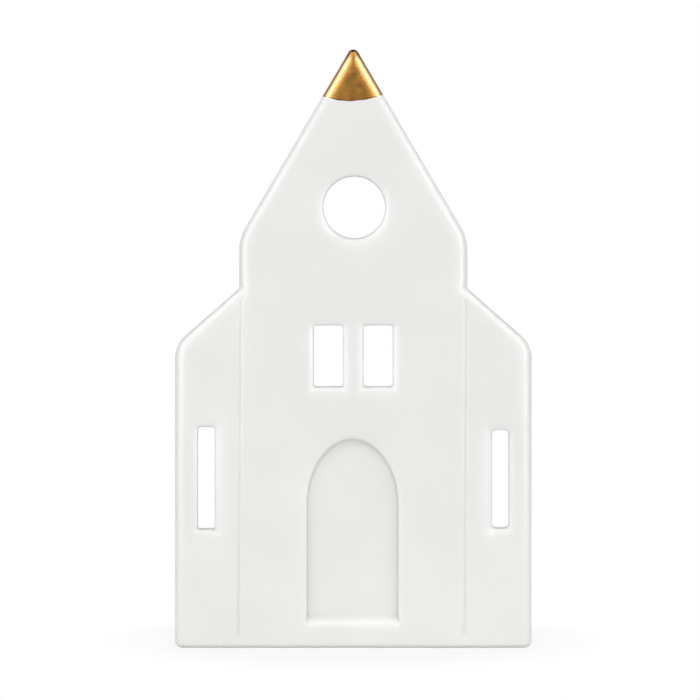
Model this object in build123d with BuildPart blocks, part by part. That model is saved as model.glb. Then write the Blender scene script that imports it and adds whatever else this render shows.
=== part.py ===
from build123d import *

import os
from math import atan, cos, radians, sin

# Tealight house: a porcelain church front, cast as one shell with an open back and a gilded tip.
# The front looks along -Y, +Z is up, and the origin lies on the table under the middle of the house.
# A tealight in its metal cup stands on the floor inside and slides out through the open back.
# Lengths are in millimetres, angles in degrees.

# House
house_width = 143.0
house_depth = 65.0
wall = 4.8
floor_thickness = 5.0
base_corner_radius = 2.8

# Aisles, the low parts at the sides, with their roofs rising from the eaves to the nave
aisle_width = 25.75
eave_height = 121.4
aisle_rise = 22.6
eave_radius = 10.0
valley_radius = 3.2

# Nave, the tall part between them: its wall above the aisles, then the steep roof
nave_wall_height = 20.1
roof_rise = 77.9
shoulder_radius = 13.0
apex_radius = 2.3

# Softened edges of the casting
edge_radius = 2.2
edge_in_apex_share = 0.96
rim_radius = 1.2
inside_edge_radius = 1.2
inside_apex_radius = 1.6
inside_floor_radius = 3.0

# Windows: an edge radius in front and one behind, then each opening
lip_radius = 0.8
reveal_radius = 0.5
rose_radius = 12.4
rose_offset = 0.4
rose_above_shoulder = 12.4
twin_width = 11.7
twin_length = 24.3
twin_sill_below_eave = 16.6
twin_gap = 8.2
twin_corner_radius = 1.1
slot_width = 6.8
slot_to_side = 9.2
left_slot_head_below_eave = 33.0
left_slot_length = 40.6
left_slot_corner_radius = 0.9
right_slot_head_below_eave = 34.2
right_slot_length = 39.0
right_slot_corner_radius = 1.8

# Blind door, pressed into the front
door_width = 36.8
door_offset = -0.3
door_sill = 12.7
door_crown_below_twins = 20.8
door_arch_rise = 26.4
door_corner_radius = 1.4
door_depth = 1.8
door_back_margin = 3.0
door_lip_share = 0.4
door_cove_share = 0.55

# Scribed lines between the nave and the aisles
scribe_width = 1.2
scribe_depth = 0.5
scribe_foot = 3.2
scribe_head_below_valley = 3.4
scribe_inset = 0.5
scribe_lean = 0.75

# Unglazed foot under the floor
foot_width = 5.5
foot_recess = 0.8
foot_corner_radius = 4.0

# Gilding of the tip, which ends on an arc in the front view
gilding_thickness = 0.25
gilding_length = 20.6
gilding_arc_radius = 31.2

# Tealight cup, pressed from thin sheet with a rolled rim
cup_radius = 18.7
cup_height = 15.5
cup_sheet = 0.3
cup_corner_radius = 1.2
cup_bead_radius = 0.45
cup_foot_width = 3.0
cup_panel_rise = 0.5
tealight_y = 2.5

# Candle: the wax, the wick and the small metal foot crimped to the wick
wax_clearance = 0.3
wax_headroom = 2.7
wax_bevel = 0.9
wax_dish = 0.6
wax_dish_bow_share = 0.3
wick_radius = 0.8
wick_stand = 6.0
wick_bent_length = 3.4
wick_bend_angle = 24
wick_bend_radius = 3.0
wick_tip_radius = 0.3
wick_clearance = 0.05
sustainer_radius = 6.0
sustainer_sheet = 0.3
sustainer_neck_height = 3.6

overrun = 5.0

# Values worked out from the sizes above
nave_width = house_width - 2 * aisle_width
valley_height = eave_height + aisle_rise
shoulder_height = valley_height + nave_wall_height
ridge_height = shoulder_height + roof_rise
roof_slope = nave_width / 2 / roof_rise
roof_sine = sin(atan(roof_slope))
house_height = ridge_height - apex_radius * (1 / roof_sine - 1)
aisle_slope = aisle_rise / aisle_width
front_edge_radius = min(edge_radius, apex_radius * edge_in_apex_share)
rose_height = shoulder_height + rose_above_shoulder
twin_sill = eave_height - twin_sill_below_eave
left_slot_sill = eave_height - left_slot_head_below_eave - left_slot_length
right_slot_sill = eave_height - right_slot_head_below_eave - right_slot_length
slot_left_edge = house_width / 2 - slot_to_side - slot_width
door_spring = twin_sill - door_crown_below_twins - door_arch_rise
gilding_arc_height = house_height - gilding_length + gilding_arc_radius
cup_base = floor_thickness
candle_base = cup_base + cup_panel_rise + cup_sheet
wax_top = cup_base + cup_height - wax_headroom
cup_inner_radius = cup_radius - cup_sheet
cup_wall_top = cup_base + cup_height - cup_bead_radius
cup_step_radius = cup_radius - cup_foot_width
cup_panel_radius = cup_step_radius - cup_panel_rise
wax_radius = cup_inner_radius - wax_clearance
neck_radius = wick_radius + wick_clearance + sustainer_sheet
tealight_plane = Plane.XZ.offset(-tealight_y)
tealight_axis = Axis((0, tealight_y, 0), (0, 0, 1))


def upright_plane(depth):
    """The plane that lies depth behind the front, with X to the right and Z up on it."""
    return Plane.XZ.offset(house_depth / 2 - depth)


def house_outline(inset, base, base_radius, inner_apex_radius):
    """Outline of the front view, moved inwards by inset and closed along the height of base."""
    half_house = house_width / 2 - inset
    half_nave = nave_width / 2 - inset
    drop = inset * ((1 + aisle_slope**2) ** 0.5 - aisle_slope)
    ridge = ridge_height - inset / roof_sine
    right_side = [
        (half_house, base),
        (half_house, eave_height - drop),
        (half_nave, valley_height - drop),
        (half_nave, ridge - half_nave / roof_slope),
    ]
    left_side = [(-x, z) for x, z in reversed(right_side)]
    side_radii = [
        base_radius,
        eave_radius - inset,
        valley_radius + inset,
        shoulder_radius - inset,
    ]
    return FilletPolyline(
        *right_side,
        (0, ridge),
        *left_side,
        radius=[*side_radii, inner_apex_radius, *reversed(side_radii)],
        close=True,
    )


def make_block(inset):
    """The house as if it were solid, with all its faces moved inwards by inset."""
    with BuildPart() as block:
        with BuildSketch(upright_plane(inset)):
            with BuildLine():
                house_outline(inset, inset, base_corner_radius - inset, apex_radius - inset)
            make_face()
        extrude(amount=-(house_depth - 2 * inset))
        front = block.faces().sort_by(Axis.Y)[0]
        fillet(front.edges(), front_edge_radius - inset)
        back = block.faces().sort_by(Axis.Y)[-1]
        fillet(back.edges(), rim_radius - inset)
    return block.part


def door_outline(outset):
    """Outline of the blind door, straight below and half an ellipse above, grown by outset."""
    half_width = door_width / 2 + outset
    left = door_offset - half_width
    right = door_offset + half_width
    sill = door_sill - outset
    corner = door_corner_radius + outset
    FilletPolyline(
        (left, door_spring),
        (left, sill),
        (right, sill),
        (right, door_spring),
        radius=[corner, corner],
    )
    EllipticalCenterArc(
        (door_offset, door_spring), half_width, door_arch_rise + outset, 0, arc_size=180
    )


def make_hollow():
    """The room inside the shell, which runs out through the open back."""
    with BuildPart() as hollow:
        with BuildSketch(upright_plane(wall)):
            with BuildLine():
                house_outline(wall, floor_thickness, inside_floor_radius, inside_apex_radius)
            make_face()
        extrude(amount=-(house_depth - wall + overrun))
        front = hollow.faces().sort_by(Axis.Y)[0]
        fillet(front.edges(), inside_edge_radius)
        # Behind the blind door the wall keeps its thickness, so the door stands out inside
        with BuildSketch(upright_plane(wall)):
            with BuildLine():
                door_outline(door_back_margin)
            make_face()
        extrude(amount=-door_depth, mode=Mode.SUBTRACT)
        panel = hollow.faces().filter_by(Plane.XZ).sort_by(Axis.Y)[1]
        fillet(panel.edges(), door_depth * door_cove_share)
    return hollow.part


def make_scribe(side):
    """Rod whose lowest part cuts the scribed line on one side of the nave."""
    rod_radius = (scribe_width**2 / 4 + scribe_depth**2) / (2 * scribe_depth)
    rod_y = -house_depth / 2 - rod_radius + scribe_depth
    head_x = side * (nave_width / 2 - scribe_inset)
    foot = Vector(head_x - scribe_lean, rod_y, scribe_foot)
    head = Vector(head_x, rod_y, valley_height - scribe_head_below_valley)
    with BuildPart() as scribe:
        with BuildLine():
            run = Line(foot, head)
        with BuildSketch(Plane(origin=foot, z_dir=run % 0)):
            Circle(rod_radius)
        sweep(path=run)
        with Locations(foot, head):
            Sphere(rod_radius)
    return scribe.part


def window_outline(left, sill, width, length, corner_radius):
    """Outline of an upright window with rounded corners, from its lower left corner."""
    right = left + width
    head = sill + length
    FilletPolyline(
        (left, sill),
        (right, sill),
        (right, head),
        (left, head),
        radius=corner_radius,
        close=True,
    )


twin = (twin_sill, twin_width, twin_length, twin_corner_radius)
left_slot = (left_slot_sill, slot_width, left_slot_length, left_slot_corner_radius)
right_slot = (right_slot_sill, slot_width, right_slot_length, right_slot_corner_radius)
windows = [
    (-slot_left_edge - slot_width, *left_slot),
    (-twin_gap / 2 - twin_width, *twin),
    (twin_gap / 2, *twin),
    (slot_left_edge, *right_slot),
]

block = make_block(0)
hollow = make_hollow()
gilding_core = make_block(gilding_thickness)
scribes = [make_scribe(side) for side in (-1, 1)]

# The whole casting with its gilding on
with BuildPart() as casting:
    add(block)
    add(hollow, mode=Mode.SUBTRACT)
    rim = casting.faces().filter_by(Plane.XZ).sort_by(Axis.Y)[-1]
    fillet(rim.inner_wires()[0].edges(), rim_radius)

    # Windows, open right through the wall
    with BuildSketch(upright_plane(0)):
        with Locations((rose_offset, rose_height)):
            Circle(rose_radius)
        for window in windows:
            with BuildLine():
                window_outline(*window)
            make_face()
    extrude(amount=-wall, mode=Mode.SUBTRACT)
    front = casting.faces().filter_by(Plane.XZ).sort_by(Axis.Y)[0]
    window_lips = [wire.edges() for wire in front.inner_wires()]
    fillet([edge for lip in window_lips for edge in lip], lip_radius)
    inner_wall = casting.faces().filter_by(Plane.XZ).sort_by(Axis.Y)[1]
    # The longest wire on the inside is the back of the door
    inner_wires = inner_wall.inner_wires().sort_by(SortBy.LENGTH)
    window_reveals = [wire.edges() for wire in inner_wires[:-1]]
    fillet([edge for reveal in window_reveals for edge in reveal], reveal_radius)

    # Blind door
    with BuildSketch(upright_plane(0)):
        with BuildLine():
            door_outline(0)
        make_face()
    extrude(amount=-door_depth, mode=Mode.SUBTRACT)
    door_panel = casting.faces().filter_by(Plane.XZ).sort_by(Axis.Y)[1]
    fillet(door_panel.edges(), door_depth * door_cove_share)
    front = casting.faces().filter_by(Plane.XZ).sort_by(Axis.Y)[0]
    door_lip = front.inner_wires().sort_by(SortBy.LENGTH)[-1]
    fillet(door_lip.edges(), door_depth * door_lip_share)

    add(scribes, mode=Mode.SUBTRACT)

    # Foot: the casting stands on a ring round a shallow recess
    with BuildSketch(Plane.XY):
        RectangleRounded(
            house_width - 2 * foot_width, house_depth - 2 * foot_width, foot_corner_radius
        )
    extrude(amount=foot_recess, mode=Mode.SUBTRACT)

# Gilding: a skin over the front, the slopes and the back rim of the tip
with BuildPart() as gilded_tip:
    add(casting.part)
    with BuildSketch(upright_plane(-overrun)):
        with Locations((0, gilding_arc_height)):
            Circle(gilding_arc_radius)
    extrude(amount=-(house_depth + 2 * overrun), mode=Mode.INTERSECT)
    add(gilding_core, mode=Mode.SUBTRACT)
    with BuildSketch(upright_plane(wall)):
        with BuildLine():
            house_outline(
                wall - rim_radius,
                floor_thickness - rim_radius,
                inside_floor_radius + rim_radius,
                inside_apex_radius + rim_radius,
            )
        make_face()
    extrude(amount=-(house_depth - wall + overrun), mode=Mode.SUBTRACT)

with BuildPart() as house_shell:
    add(casting.part)
    add(gilded_tip.part, mode=Mode.SUBTRACT)

with BuildPart() as tealight_cup:
    with BuildSketch(tealight_plane):
        with BuildLine():
            FilletPolyline(
                (0, cup_base + cup_panel_rise),
                (cup_panel_radius, cup_base + cup_panel_rise),
                (cup_step_radius, cup_base),
                (cup_radius, cup_base),
                (cup_radius, cup_wall_top),
                (cup_inner_radius, cup_wall_top),
                (cup_inner_radius, cup_base + cup_sheet),
                (cup_step_radius, cup_base + cup_sheet),
                (cup_panel_radius, candle_base),
                (0, candle_base),
                radius=[
                    cup_sheet,
                    cup_sheet,
                    cup_corner_radius,
                    0,
                    0,
                    cup_corner_radius - cup_sheet,
                    cup_sheet,
                    cup_sheet,
                ],
            )
            Line((0, candle_base), (0, cup_base + cup_panel_rise))
        make_face()
        with Locations((cup_inner_radius + cup_bead_radius, cup_wall_top)):
            Circle(cup_bead_radius)
    revolve(axis=tealight_axis)

# The wax has a hole for the wick and room for the wick's foot underneath
with BuildPart() as candle_wax:
    with BuildSketch(tealight_plane):
        with BuildLine():
            rim_of_dish = (wax_radius - wax_bevel, wax_top)
            foot_of_dish = (wick_radius + wick_clearance, wax_top - wax_dish)
            Polyline(
                foot_of_dish,
                (wick_radius + wick_clearance, candle_base + sustainer_neck_height),
                (neck_radius + wick_clearance, candle_base + sustainer_neck_height),
                (neck_radius + wick_clearance, candle_base + sustainer_sheet),
                (sustainer_radius + wick_clearance, candle_base + sustainer_sheet),
                (sustainer_radius + wick_clearance, candle_base),
                (wax_radius - wax_bevel, candle_base),
                (wax_radius, candle_base + wax_bevel),
                (wax_radius, wax_top - wax_bevel),
                rim_of_dish,
            )
            SagittaArc(rim_of_dish, foot_of_dish, wax_dish * wax_dish_bow_share)
        make_face()
    revolve(axis=tealight_axis)

with BuildPart() as candle_wick:
    with BuildLine():
        bend = (0, tealight_y, wax_top + wick_stand)
        tip = (
            wick_bent_length * sin(radians(wick_bend_angle)),
            tealight_y,
            wax_top + wick_stand + wick_bent_length * cos(radians(wick_bend_angle)),
        )
        wick_line = FilletPolyline((0, tealight_y, candle_base), bend, tip, radius=wick_bend_radius)
    with BuildSketch(Plane.XY.offset(candle_base)):
        with Locations((0, tealight_y)):
            Circle(wick_radius)
    sweep(path=wick_line)
    fillet(candle_wick.faces().sort_by(Axis.Z)[-1].edges(), wick_tip_radius)

# Pressed disc under the wax, with a neck that grips the wick
with BuildPart() as wick_sustainer:
    with BuildSketch(tealight_plane):
        with BuildLine():
            Polyline(
                (wick_radius + wick_clearance, candle_base),
                (sustainer_radius, candle_base),
                (sustainer_radius, candle_base + sustainer_sheet),
                (neck_radius, candle_base + sustainer_sheet),
                (neck_radius, candle_base + sustainer_neck_height),
                (wick_radius + wick_clearance, candle_base + sustainer_neck_height),
                close=True,
            )
        make_face()
    revolve(axis=tealight_axis)

house_shell.part.label = "house_shell"
gilded_tip.part.label = "gilded_tip"
tealight_cup.part.label = "tealight_cup"
candle_wax.part.label = "candle_wax"
candle_wick.part.label = "candle_wick"
wick_sustainer.part.label = "wick_sustainer"

os.makedirs("parts", exist_ok=True)
export_step(house_shell.part, "parts/house_shell.step")
export_step(gilded_tip.part, "parts/gilded_tip.step")
export_step(tealight_cup.part, "parts/tealight_cup.step")
export_step(candle_wax.part, "parts/candle_wax.step")
export_step(candle_wick.part, "parts/candle_wick.step")
export_step(wick_sustainer.part, "parts/wick_sustainer.step")
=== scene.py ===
from contextlib import contextmanager
from math import acos, atan, cos, pi, radians, sin, tan

import bmesh
import bpy
import numpy as np
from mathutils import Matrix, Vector
from mathutils.geometry import delaunay_2d_cdt


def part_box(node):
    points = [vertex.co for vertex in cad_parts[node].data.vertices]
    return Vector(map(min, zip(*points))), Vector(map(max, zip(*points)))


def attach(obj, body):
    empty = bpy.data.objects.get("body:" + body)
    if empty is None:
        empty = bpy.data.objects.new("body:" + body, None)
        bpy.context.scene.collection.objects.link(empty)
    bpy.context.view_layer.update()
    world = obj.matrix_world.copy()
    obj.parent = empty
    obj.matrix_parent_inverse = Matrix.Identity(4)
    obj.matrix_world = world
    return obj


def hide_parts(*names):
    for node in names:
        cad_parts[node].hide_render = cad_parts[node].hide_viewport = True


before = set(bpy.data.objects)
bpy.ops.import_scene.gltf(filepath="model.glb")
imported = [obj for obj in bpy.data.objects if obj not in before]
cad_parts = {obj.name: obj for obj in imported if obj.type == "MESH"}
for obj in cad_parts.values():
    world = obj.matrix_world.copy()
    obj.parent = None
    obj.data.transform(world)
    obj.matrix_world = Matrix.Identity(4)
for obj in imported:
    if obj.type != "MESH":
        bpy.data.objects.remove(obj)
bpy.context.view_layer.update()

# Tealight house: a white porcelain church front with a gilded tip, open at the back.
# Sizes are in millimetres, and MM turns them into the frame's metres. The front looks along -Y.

MM = 0.001


def node_box(name):
    """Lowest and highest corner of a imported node, in millimetres."""
    low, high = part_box(name)
    return np.array(low) / MM, np.array(high) / MM


# House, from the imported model's box
shell_low, shell_high = node_box("house_shell")
front_y, back_y = shell_low[1], shell_high[1]
house_width = shell_high[0] - shell_low[0]
house_height = node_box("gilded_tip")[1][2]
wall = 4.8
floor_thickness = 5.0

# Outline of the front
aisle_width = 25.75
aisle_rise = 22.6
nave_wall_height = 20.1
roof_rise = 77.9
base_corner_radius = 2.8
eave_radius = 12.0
valley_radius = 3.2
shoulder_radius = 17.0
apex_radius = 2.3
inside_floor_radius = 3.0
inside_apex_radius = 1.6
rim_radius = 1.2
inside_edge_radius = 1.2

# Softness of the glazed edges
edge_radius = 1.8
crown_depth = 0.9
crown_width = 7.0
crown_blend = 1.1
crown_power = 3
lip_radius = 0.45
sill_lip_radius = 1.1
lip_dip = 0.85
lip_dip_width = 2.4
sill_dip = 0.75
sill_dip_width = 2.6
reveal_radius = 0.5
wave_depth = 0.05

# Openings
rose_radius = 12.4
rose_offset = 0.4
rose_above_shoulder = 12.4
twin_width = 11.7
twin_length = 24.3
twin_sill_below_eave = 16.6
twin_gap = 8.2
twin_corner_radius = 1.1
slot_width = 6.8
slot_to_side = 9.2

# The two slots, each its head's depth below the eaves, its length and its corner radius
left_slot = (33.0, 40.6, 0.9)
right_slot = (34.2, 39.0, 1.8)

# Blind door
door_width = 36.8
door_offset = -0.3
door_sill = 12.7
door_spring = 57.6
door_arch_rise = 26.4
door_corner_radius = 1.4
door_depth = 2.8
door_dip = 0.75
door_lip = 0.1
door_foot = 0.6
door_head_foot = 1.7
door_sill_run = 5.5
door_sill_power = 1.5
door_back_depth = 1.8
door_back_margin = 3.0
door_back_slope = 1.6

# Scribed lines
scribe_depth = 0.45
scribe_width = 0.42
scribe_flank_depth = 0.08
scribe_flank_width = 1.2
scribe_foot = 3.2
scribe_head_below_valley = 3.4
scribe_inset = 0.5
scribe_lean = 0.75
scribe_fade = 3.0

# Foot
foot_width = 5.5
foot_recess = 0.8
foot_corner_radius = 4.0

# Gilding: a film that ends on an arc in the front view, a little lower on the left
film = 0.05
film_thickness = 0.04
gilding_length = 20.95
gilding_arc_radius = 31.2
gilding_shift = -1.1
gilding_wave = 0.07

# Waves, each its share, its phase for each millimetre along two axes, and its phase at the start
gilding_waves = [(1, 1.1, 0.21, 0), (1, 0.47, -0.34, 2)]
slow_waves = [(1, 0.11, 0.05, 1.0), (1, 0.06, -0.13, 4.1), (0.6, 0.21, 0.17, 2.3),
              (0.4, 0.31, -0.24, 0.6)]

# Values worked out from the sizes above
nave_width = house_width - 2 * aisle_width
roof_slope = nave_width / 2 / roof_rise
roof_sine = sin(atan(roof_slope))
ridge_height = house_height + apex_radius * (1 / roof_sine - 1)
shoulder_height = ridge_height - roof_rise
valley_height = shoulder_height - nave_wall_height
eave_height = valley_height - aisle_rise
aisle_slope = aisle_rise / aisle_width
gilding_arc_height = house_height - gilding_length + gilding_arc_radius
twin_sill = eave_height - twin_sill_below_eave
slot_edge = house_width / 2 - slot_to_side - slot_width

# How finely the surfaces are drawn
sheet_spacing = 2.4
inside_spacing = 4.0
run_spacing = 3.0
station_spacing = 5.0
window_spacing = 1.5
door_spacing = 2.0
corner_steps = [6, 12, 9, 12, 14, 12, 9, 12, 6]
opening_corner_steps = 6
door_arch_steps = 60
gilding_end_points = 40
rim_points = 6
rim_flat_points = 5
reveal_rows = 5
distances_at_once = 1000
weld_distance = 0.002
edge_insets = [0.06, 0.18, 0.34, 0.54, 0.8, 1.1, 1.45, 1.8, 2.3, 3.0, 4.0, 5.4, 7.0]
lip_outsets = [0.04, 0.11, 0.21, 0.33, 0.45, 0.75, 1.2, 1.8, 2.7, 4.0]
door_outsets = [4.4, 3.0, 2.0, 1.4, 0.9, 0.5, 0.25, 0.1, 0.04, -0.02, -0.08, -0.14, -0.2, -0.26,
                -0.32, -0.38, -0.44, -0.5, -0.8, -1.6]
scribe_offsets = [-2.6, -1.8, -1.2, -0.8, -0.5, -0.25, 0, 0.25, 0.5, 0.8, 1.2, 1.8, 2.6]
inside_insets = [0.08, 0.24, 0.46, 0.74, 1.0, 1.2, 2.4]
reveal_outsets = [0.06, 0.18, 0.34, 0.5, 1.5]
door_back_outsets = [4.2, 3.8, 3.5, 3.2, 2.9, 2.6, 2.3, 2.0, 1.0]
foot_outsets = [0.3, 0.1, -0.1, -0.3, -0.5, -0.7, -0.9, -2.0]


# Plane outlines

def arc_points(corner, before, after, radius, steps):
    """Points of the arc that rounds a corner, from one tangent point to the other."""
    corner, before, after = (np.array(p, float) for p in (corner, before, after))
    to_before = (before - corner) / np.linalg.norm(before - corner)
    to_after = (after - corner) / np.linalg.norm(after - corner)
    half = acos(np.clip(to_before @ to_after, -1, 1)) / 2
    bisector = (to_before + to_after) / np.linalg.norm(to_before + to_after)
    centre = corner + bisector * radius / sin(half)
    spoke = corner + to_before * radius / tan(half) - centre
    side = np.sign(to_before[1] * to_after[0] - to_before[0] * to_after[1])
    turn = side * (pi - 2 * half)
    return [
        centre + (spoke[0] * cos(a) - spoke[1] * sin(a), spoke[0] * sin(a) + spoke[1] * cos(a))
        for a in np.linspace(0, turn, steps + 1)
    ]


def run_points(start, end, steps):
    """Points between two ends, without the ends."""
    return [start + (end - start) * k / steps for k in range(1, steps)]


def rounded_loop(corners, radii, arc_counts, run_counts, stops):
    """Closed outline with rounded corners. A run that has a stop passes through that point."""
    count = len(corners)
    arcs = [
        arc_points(corners[i], corners[i - 1], corners[(i + 1) % count], radii[i], arc_counts[i])
        for i in range(count)
    ]
    points = []
    for i, arc in enumerate(arcs):
        points.extend(arc)
        start, end = arc[-1], arcs[(i + 1) % count][0]
        if i in stops:
            stop = np.array(stops[i])
            points.extend(run_points(start, stop, run_counts[i]))
            points.append(stop)
            points.extend(run_points(stop, end, run_counts[i]))
        else:
            points.extend(run_points(start, end, run_counts[i]))
    return np.array(points)


def house_corners(inset):
    """Sharp corners of the front, moved inwards by inset, counterclockwise from the right foot."""
    half_house = house_width / 2 - inset
    half_nave = nave_width / 2 - inset
    drop = inset * ((1 + aisle_slope**2) ** 0.5 - aisle_slope)
    ridge = ridge_height - inset / roof_sine
    right = [
        (half_house, inset * floor_thickness / wall),
        (half_house, eave_height - drop),
        (half_nave, valley_height - drop),
        (half_nave, ridge - half_nave / roof_slope),
    ]
    return [*right, (0, ridge), *[(-x, z) for x, z in reversed(right)]]


def wavy(waves, first, second):
    """Sum of the waves at a place given along their two axes."""
    return sum(share * np.sin(a * first + b * second + start) for share, a, b, start in waves)


def gilding_line(x, y):
    """Height at which the gilding ends, at x and at the depth y."""
    arc = gilding_arc_height - np.sqrt(gilding_arc_radius**2 - (x - gilding_shift) ** 2)
    return arc + gilding_wave * wavy(gilding_waves, x, y)


def roof_stop(side, ridge, y):
    """Point where the end of the gilding crosses one slope of the roof."""
    # Halves the height between a place well under the arc and the ridge
    low, high = gilding_arc_height - 1.1 * gilding_arc_radius, ridge
    while high - low > weld_distance / 100:
        middle = (low + high) / 2
        if middle > gilding_line(side * (ridge - middle) * roof_slope, y):
            high = middle
        else:
            low = middle
    return side * (ridge - high) * roof_slope, high


right_roof, left_roof, under_floor = 3, 4, 8
run_counts = [
    max(2, round(np.hypot(a[0] - b[0], a[1] - b[1]) / run_spacing))
    for a, b in zip(house_corners(0), [*house_corners(0)[1:], house_corners(0)[0]])
]


def house_loop(inset, y=front_y):
    """Outline of the house moved inwards by inset, always with as many points."""
    corners = house_corners(inset)
    # The base corners and the apex have their own radii inside, and the rim leads over to them
    stages = [0, rim_radius, wall - rim_radius, wall]
    base_radii = [base_corner_radius, base_corner_radius - rim_radius,
                  inside_floor_radius + rim_radius, inside_floor_radius]
    apex_radii = [apex_radius, apex_radius - rim_radius,
                  inside_apex_radius + rim_radius, inside_apex_radius]
    side_radii = [
        np.interp(inset, stages, base_radii),
        eave_radius - inset,
        valley_radius + inset,
        shoulder_radius - inset,
    ]
    radii = [*side_radii, np.interp(inset, stages, apex_radii), *reversed(side_radii)]
    ridge = corners[4][1]
    stops = {right_roof: roof_stop(1, ridge, y), left_roof: roof_stop(-1, ridge, y)}
    return rounded_loop(corners, radii, corner_steps, run_counts, stops if inset <= wall else {})


def box_loop(box, outset):
    """Outline of an upright rounded box (centre, half size, corner radius), grown by outset."""
    centre, half, radius = box
    radius = radius + outset
    hub_reach = half + outset - radius
    steps = round(opening_corner_steps + radius)
    arcs = [
        [
            centre + hub_reach * sides + radius * np.array([cos(angle), sin(angle)])
            for angle in np.linspace(turn - 1, turn, steps + 1) * pi / 2
        ]
        for turn, sides in enumerate([(1, -1), (1, 1), (-1, 1), (-1, -1)])
    ]
    points = []
    for arc, following in zip(arcs, arcs[1:] + arcs[:1]):
        run_steps = max(1, round(np.linalg.norm(following[0] - arc[-1]) / window_spacing))
        points.extend(arc)
        points.extend(run_points(arc[-1], following[0], run_steps))
    points = np.array(points)
    apart = np.linalg.norm(points - np.roll(points, 1, axis=0), axis=1) > weld_distance
    return points[apart]


def box_distance(points, box):
    """Signed distance from an upright rounded box, negative inside."""
    centre, half, radius = box
    beyond = np.abs(points - centre) - half + radius
    outside = np.linalg.norm(np.maximum(beyond, 0), axis=1)
    return outside + np.minimum(beyond.max(1), 0) - radius


def door_loop(outset):
    """Outline of the blind door, straight below and half an ellipse above, grown by outset."""
    half_width = door_width / 2 + outset
    sill = door_sill - outset
    rise = door_arch_rise + outset
    corner = max(door_corner_radius + outset, weld_distance)
    points = [
        np.array([door_offset + half_width * cos(a), door_spring + rise * sin(a)])
        for a in np.linspace(0, pi, door_arch_steps + 1)
    ]
    left, right = door_offset - half_width, door_offset + half_width
    foot_arc = (corner, opening_corner_steps)
    left_foot = arc_points((left, sill), (left, door_spring), (right, sill), *foot_arc)
    right_foot = arc_points((right, sill), (left, sill), (right, door_spring), *foot_arc)
    side_steps = round((door_spring - door_sill) / door_spacing)
    points.extend(run_points(points[-1], left_foot[0], side_steps))
    points.extend(left_foot)
    points.extend(run_points(left_foot[-1], right_foot[0], side_steps))
    points.extend(right_foot)
    points.extend(run_points(right_foot[-1], points[0], side_steps))
    return np.array(points)


def distance_to(points, loop):
    """Distance from each point to a closed line."""
    runs = np.roll(loop, -1, axis=0) - loop
    squares = np.maximum((runs**2).sum(1), weld_distance**4)
    nearest = np.empty(len(points))
    for part in np.array_split(np.arange(len(points)), len(points) // distances_at_once + 1):
        gaps = points[part, None] - loop
        along = np.clip((gaps * runs).sum(2) / squares, 0, 1)
        nearest[part] = np.linalg.norm(gaps - along[..., None] * runs, axis=2).min(1)
    return nearest


def lies_inside(points, loop):
    """True for each point inside a closed line."""
    inside = np.zeros(len(points), bool)
    for (x1, z1), (x2, z2) in zip(loop, np.roll(loop, -1, axis=0)):
        crosses = (z1 > points[:, 1]) != (z2 > points[:, 1])
        if crosses.any():
            inside ^= crosses & (points[:, 0] < x1 + (points[:, 1] - z1) * (x2 - x1) / (z2 - z1))
    return inside


def window(left, sill, width, length, corner_radius):
    """Upright box of a window: its centre, half its size and its corner radius."""
    half = np.array([width, length]) / 2
    return np.array([left, sill]) + half, half, corner_radius


def slot_box(left, head_below_eave, length, corner_radius):
    """Upright box of a slot, hung from the eaves."""
    return window(left, eave_height - head_below_eave - length, slot_width, length, corner_radius)


rose_corner = (rose_offset - rose_radius, shoulder_height + rose_above_shoulder - rose_radius)
windows = [
    slot_box(-slot_edge - slot_width, *left_slot),
    window(-twin_gap / 2 - twin_width, twin_sill, twin_width, twin_length, twin_corner_radius),
    window(twin_gap / 2, twin_sill, twin_width, twin_length, twin_corner_radius),
    slot_box(slot_edge, *right_slot),
    window(*rose_corner, 2 * rose_radius, 2 * rose_radius, rose_radius),
]
window_loops = [box_loop(box, 0) for box in windows]
rim_y = back_y - film - rim_radius
outer_loop = house_loop(film)
inner_loop = house_loop(wall)
door_edge = door_loop(0)


# Relief of the surfaces

def smooth(share):
    """Smooth step from 0 to 1."""
    share = np.clip(share, 0, 1)
    return share * share * (3 - 2 * share)


def rounding(distance, radius):
    """How far a rounded edge falls away, from its radius at the very edge to nothing."""
    distance = np.where(distance < weld_distance, 0, distance)
    return radius - np.sqrt(radius**2 - np.clip(radius - distance, 0, radius) ** 2)


def unevenness(x, z):
    """Slow waves between 0 and 1 over about 20 to 60 mm, as a hand-finished casting has."""
    return 0.5 + wavy(slow_waves, x, z) / (2 * sum(share for share, *_ in slow_waves))


def soft_distance(points):
    """Distance from the sides and roofs of the front, blended softly where two meet."""
    corners = np.array(house_corners(0))
    total = np.zeros(len(points))
    for start, end in zip(corners, corners[1:]):
        run = end - start
        along = np.clip((points - start) @ run / (run @ run), 0, 1)
        gap = np.linalg.norm(points - start - along[:, None] * run, axis=1)
        total += np.exp(-gap / crown_blend)
    return np.maximum(-crown_blend * np.log(np.maximum(total, np.finfo(float).tiny)), 0)


def door_distance(points):
    """Signed distance from the blind door's outline, negative inside."""
    return distance_to(points, door_edge) * np.where(lies_inside(points, door_edge), -1, 1)


scribe_head = valley_height - scribe_head_below_valley
scribe_heads_x = [side * (nave_width / 2 - scribe_inset) for side in (-1, 1)]


def scribe_x(head_x, z):
    """Where a scribed line runs at height z."""
    return head_x - scribe_lean * (scribe_head - z) / (scribe_head - scribe_foot)


def scribe_relief(x, z):
    """Depth of the scribed lines, which fade at both ends."""
    fade = smooth((z - scribe_foot) / scribe_fade) * smooth((scribe_head - z) / scribe_fade)
    depth = np.zeros(len(x))
    for head_x in scribe_heads_x:
        offset = x - scribe_x(head_x, z)
        depth += scribe_depth * np.exp(-((offset / scribe_width) ** 2))
        depth += scribe_flank_depth * np.exp(-((offset / scribe_flank_width) ** 2))
    return depth * fade


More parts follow.
